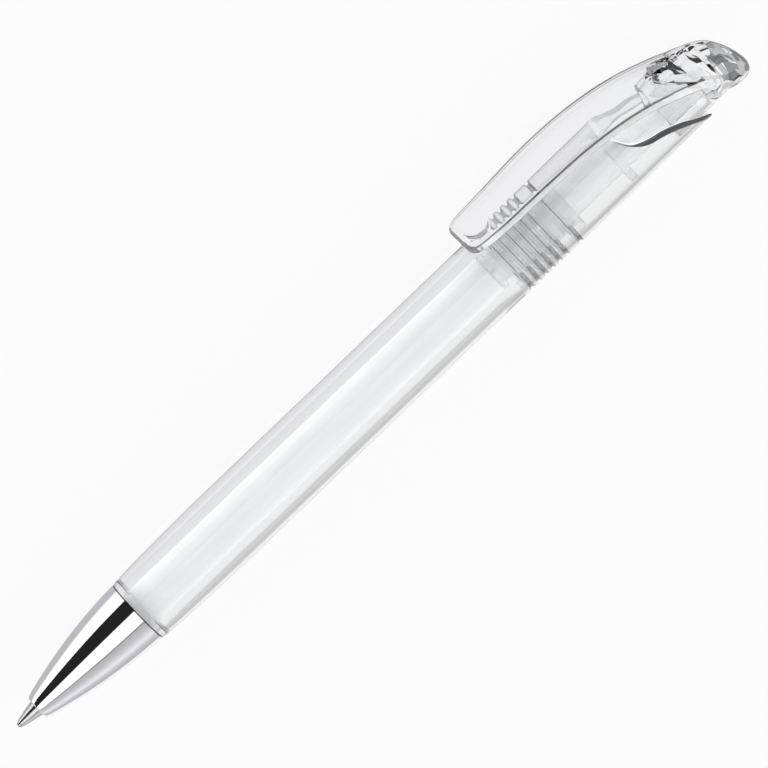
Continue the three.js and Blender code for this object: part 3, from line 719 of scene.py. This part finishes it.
# The grooves show as single lines, and as broad strokes on the barrel's lower side: painted shade, a dark
# clear material on their walls and, on that side, on their floors
coated(barrel, BARREL_CLEAR, DARK_CLEAR_SHADE, END_RING)
GROOVE_SHADE, RING = 1, 2
RING_FRONT, RING_REAR = 24.2, 25.4
GRIP_FRONT, GRIP_REAR = 96.7, 108.7
LOWER_FROM = 2.9  # how far below the axis, as the photograph sees it, the broad strokes begin
for face in barrel.data.polygons:
    off = face.center - AXIS
    depth = BARREL_RADIUS - math.hypot(off.y, off.z) / MM
    lower = off.dot(LOW_IN_PICTURE) > LOWER_FROM * MM
    wall = face.normal.x < -0.5 or (lower and face.normal.x > 0.5)
    floor = lower and depth > 0.2 and abs(face.normal.x) < 0.5 and off.dot(face.normal) > 0
    grooved = station(GRIP_REAR) < face.center.x < station(GRIP_FRONT) and 0.05 < depth < 0.32
    # Painted shade on the groove walls, and on the lower side on their floors too
    if grooved and (wall or floor):
        face.material_index = GROOVE_SHADE
    elif station(RING_REAR) < face.center.x < station(RING_FRONT):
        face.material_index = RING
cutter = traced([*flowing(MOUTH, 4), (138, 7.5), (138, -4.42)], CUTTER_THICKNESS)
# The mouth's cut faces take the cutter's cloudy white material, a painted highlight
coated(cutter, CUT_EDGE_HIGHLIGHT)
boolean(barrel, cutter, "DIFFERENCE")
finished("barrel_shell", "barrel_body", "clear_plastic", "barrel")

# The mouth's lip: a polished bead that thickens towards the back and looks dark against the white.
# It is dark metal laid where the clear cut edge shows only dark refraction: painted shade.
# Each row is [along, height, half of its width].

LIP_RADIUS, BEAD_HEIGHT, BEAD_SIDES = 5.66, 0.12, 12
LIP = [
    (120.6, 4.5, 0.04), (121.7, 3.2, 0.1), (122.5, 2.6, 0.2), (123.4, 2.1, 0.34), (124.6, 1.65, 0.44),
    (126.8, 1.1, 0.5), (129.0, 0.15, 0.5), (130.2, -0.6, 0.48), (131.3, -1.4, 0.46), (132.3, -2.2, 0.52),
    (133.0, -2.85, 0.62), (133.45, -3.25, 0.5), (133.58, -3.4, 0.3),
]


def lip_bead():
    """A flattened bead laid along the mouth's cut edge, on the side that the photograph shows."""
    path = []
    for along, height, half in flowing(LIP, 4):
        reach = math.sqrt(max(LIP_RADIUS ** 2 - height ** 2, 0.3))
        path.append((Vector((-along, height, reach)), half))
    start()
    bpy.ops.mesh.primitive_circle_add(vertices=BEAD_SIDES, radius=MM, location=(0, 0, 0))
    bpy.ops.object.mode_set(mode="EDIT")
    for index, (place, half) in enumerate(path):
        before, after = path[max(index - 1, 0)][0], path[min(index + 1, len(path) - 1)][0]
        out = Vector((0, place.y, place.z)).normalized()
        wide = out.cross(after - before).normalized()
        if index:
            bpy.ops.mesh.extrude_region_move()
        mesh = bmesh.from_edit_mesh(bpy.context.object.data)
        ring = [vert for vert in mesh.verts if vert.select]
        if not index:
            ring.sort(key=lambda vert: math.atan2(vert.co.y, vert.co.x))
            turns = [math.atan2(vert.co.y, vert.co.x) for vert in ring]
        for vert, turn in zip(ring, turns):
            at = place + wide * (math.cos(turn) * half) + out * (math.sin(turn) * BEAD_HEIGHT)
            vert.co = Vector((TIP_X + at.x * MM, AXIS_Y - at.y * MM, AXIS_Z + at.z * MM))
    lean(closed())


lip_bead()
finished("mouth_lip", "barrel_body", "clear_plastic", material=LIP_AND_JOINT_SHADE, angle=50)

# Chrome nose, with a painted shadow for the dark joint line behind it

NOSE_STEPS, NOSE_REAR, NOSE_RADIUS = 28, 24.0, 5.258
NOSE_TAPER, NOSE_BOW = 0.03, 0.0065
nose_profile = [(3.9, 1.62), (3.9, 1.8), (3.97, 1.92), (4.1, 1.99)]
for step in range(1, NOSE_STEPS):
    back = 20.1 * (1 - step / NOSE_STEPS)
    nose_profile.append((24.1 - back, NOSE_RADIUS - NOSE_TAPER * back - NOSE_BOW * back ** 2))
nose_profile += [
    (NOSE_REAR, 5.25), (24.02, 5.19), (24.2, 5.19), (24.2, 4.25), (17.7, 4.25), (17.7, 3.4), (15.2, 3.4),
    (15.2, 2.6), (9.5, 2.6), (9.5, 1.62),
]
nose = turned(nose_profile, 128)
coated(nose, NOSE_CHROME, LIP_AND_JOINT_SHADE)
JOINT_SHADE = 1
# Painted shadow: the faces behind the nose's rear edge take the dark metal, for the shaded gap at the joint
for face in nose.data.polygons:
    if face.center.x < station(NOSE_REAR):
        face.material_index = JOINT_SHADE
finished("nose_shell", "nose", "chrome", "nose_cone")

# Refill tube and metal point

turned([
    (17.4, 2.5), (17.4, 3.02), (17.48, 3.1), (94.42, 3.1), (94.5, 3.02), (94.5, 2.5),
], 96)
finished("refill_shell", "refill", "white_plastic", "refill_tube", material=REFILL_WHITE)

turned([
    (0.6, 0.55), (0.6, 0.6), (0.66, 0.64), (2.2, 1.0), (3.7, 1.31), (3.9, 1.35), (11.0, 1.35),
    (11.0, 0.8), (13.2, 0.8), (13.2, 0.4), (1.15, 0.4), (1.0, 0.55),
], 64)
finished("point_shell", "refill", "point_metal", "point_holder", material=POINT_METAL)

# Table: white to the camera. Mirrors and clear pieces see bands of light and shade on it, which run
# along the pen and span a strip of 1 / BANDS metres.

BANDS = 7.0
OWN_LIGHT = 0.92  # the share of the table that glows to the camera, where the rest takes shadows
LIT_MORE = 1.6  # how much more of it reaches plain surfaces
start()
bpy.ops.mesh.primitive_plane_add(size=4, location=(0, 0, 0))
table = bpy.context.object
table.name = "table_top"
top = Finish("table_white", (0.5, 0.5, 0.5), 0.7)
tree = top.tree
to_camera, in_mirror, in_glass, bounces = rays_of(
    tree, "Is Camera Ray", "Is Glossy Ray", "Is Transmission Ray", "Diffuse Depth",
)
place = node_of(tree, "ShaderNodeTexCoord", "Object")
across_table = (node_of(tree, "ShaderNodeSeparateXYZ", "Y", Vector=place) * BANDS + 0.5).clipped()
# What mirrors see: a dark and a bright band, and a grey one near the pen that is painted shadow
mirrored = ramp_of(tree, across_table, [
    (0.0, 0.02), (0.1, 0.02), (0.12, 1.25), (0.45, 1.25),
    (0.462, 0.57, 0.58), (0.56, 0.57, 0.58), (0.64, 1),
])
# What the clear pieces see through themselves: darker bands further out, and a painted shadow beneath the
# pen
under = ramp_of(tree, across_table, [
    (0.0, 0.7), (0.2, 0.35), (0.33, 0.35), (0.38, 0.98), (0.42, 0.98), (0.45, 0.86, 0.87),
    (0.525, 0.86, 0.87), (0.55, 0.98), (0.65, 0.98), (0.74, 0.6),
])
plain = mix_of(tree, 1 - in_glass, under, (1, 1, 1, 1))


def shader_mix(share, first, second):
    """Mixes two shaders of the table, from the first at 0 to the second at 1."""
    node = tree.nodes.new("ShaderNodeMixShader")
    for index, value in enumerate((share, first, second)):
        plug(tree, node.inputs[index], value)
    return Wire(tree, node.outputs[0])


shine = shader_mix(
    in_mirror * (1 - in_glass),
    node_of(tree, "ShaderNodeEmission", Color=plain, Strength=1.0 + LIT_MORE * bounces.clipped()),
    node_of(tree, "ShaderNodeEmission", Color=mirrored, Strength=1.0),
)
whole = shader_mix(
    (to_camera * OWN_LIGHT + in_mirror + in_glass).clipped(), Wire(tree, top.shader.outputs[0]), shine,
)
plug(tree, tree.nodes["Material Output"].inputs[0], whole)
coated(table, top.material)

# Studio: bands of light and shade round the pen, by the angle above the front horizon. Mirrors,
# clear pieces and plain surfaces each see their own, and the camera sees white.

CLIMB_PER_RADIAN = 1 / math.pi  # the half circle counts as 1
world = bpy.data.worlds.new("studio")
bpy.context.scene.world = world
world.use_nodes = True
sky = world.node_tree
look = node_of(sky, "ShaderNodeTexCoord", "Generated")
parts = node_of(sky, "ShaderNodeSeparateXYZ", Vector=look).socket.node
front, height = Wire(sky, parts.outputs["Y"]) * -1.0, Wire(sky, parts.outputs["Z"])
climb = height.math("ARCTAN2", front) * CLIMB_PER_RADIAN
to_camera, in_mirror, in_glass, bounces = rays_of(
    sky, "Is Camera Ray", "Is Glossy Ray", "Is Transmission Ray", "Diffuse Depth",
)


def studio_band(stops):
    """A ramp of [degrees, shade] over the half circle from the front horizon to the back one."""
    return ramp_of(sky, climb, [(angle / 180, shade, shade * 1.01) for angle, shade in stops])


mirror_band = studio_band([
    (0, 0.02), (38, 0.02), (40, 1.25), (83, 1.25), (84.5, 0.12), (86, 0.12), (87.5, 0.5), (112, 0.64),
    (136, 0.95), (156, 0.62), (180, 0.5),
])
glass_band = studio_band([
    (0, 0.25), (16, 0.42), (40, 0.9), (75, 0.95), (95, 0.85), (125, 0.95), (150, 0.88), (168, 0.75),
    (180, 0.7),
])
surface_band = studio_band([
    (0, 3.6), (26, 3.6), (40, 0.2), (82, 0.2), (100, 2.6), (180, 2.9),
])
seen = mix_of(sky, in_mirror * (1 - in_glass), glass_band, mirror_band)
lit = mix_of(sky, bounces.clipped(), seen, surface_band)
plug(sky, sky.nodes["Background"].inputs["Color"], mix_of(sky, to_camera, lit, (1, 1, 1, 1)))

# Camera: as the photograph was taken

PICTURE_PX, PX_PER_MM = 768, 6.9
SENSOR = 36
DISTANCE = 700 * MM
TIP_PX, MIDDLE_PX = Vector((18.0, 726.1)), Vector((384, 384))
back = Vector((0, -math.cos(ELEVATION), math.sin(ELEVATION)))
along_pen = Vector((-1, 0, 0))
right = along_pen * math.cos(TURN) + LOW_IN_PICTURE * math.sin(TURN)
up = along_pen * math.sin(TURN) - LOW_IN_PICTURE * math.cos(TURN)

camera_data = bpy.data.cameras.new("photo_camera")
camera = bpy.data.objects.new("photo_camera", camera_data)
bpy.context.scene.collection.objects.link(camera)
bpy.context.scene.camera = camera
offset = (MIDDLE_PX - TIP_PX) / PX_PER_MM * MM
aim = Vector((TIP_X, AXIS_Y, AXIS_Z)) + right * offset.x - up * offset.y
camera.matrix_world = Matrix((
    (right.x, up.x, back.x, 0),
    (right.y, up.y, back.y, 0),
    (right.z, up.z, back.z, 0),
    (0, 0, 0, 1),
))
camera.location = aim + back * DISTANCE
camera_data.sensor_width = SENSOR
camera_data.lens = SENSOR * DISTANCE / (PICTURE_PX / PX_PER_MM * MM)
camera_data.clip_start = 0.01
camera_data.clip_end = 20

bpy.context.scene.view_settings.view_transform = "Standard"
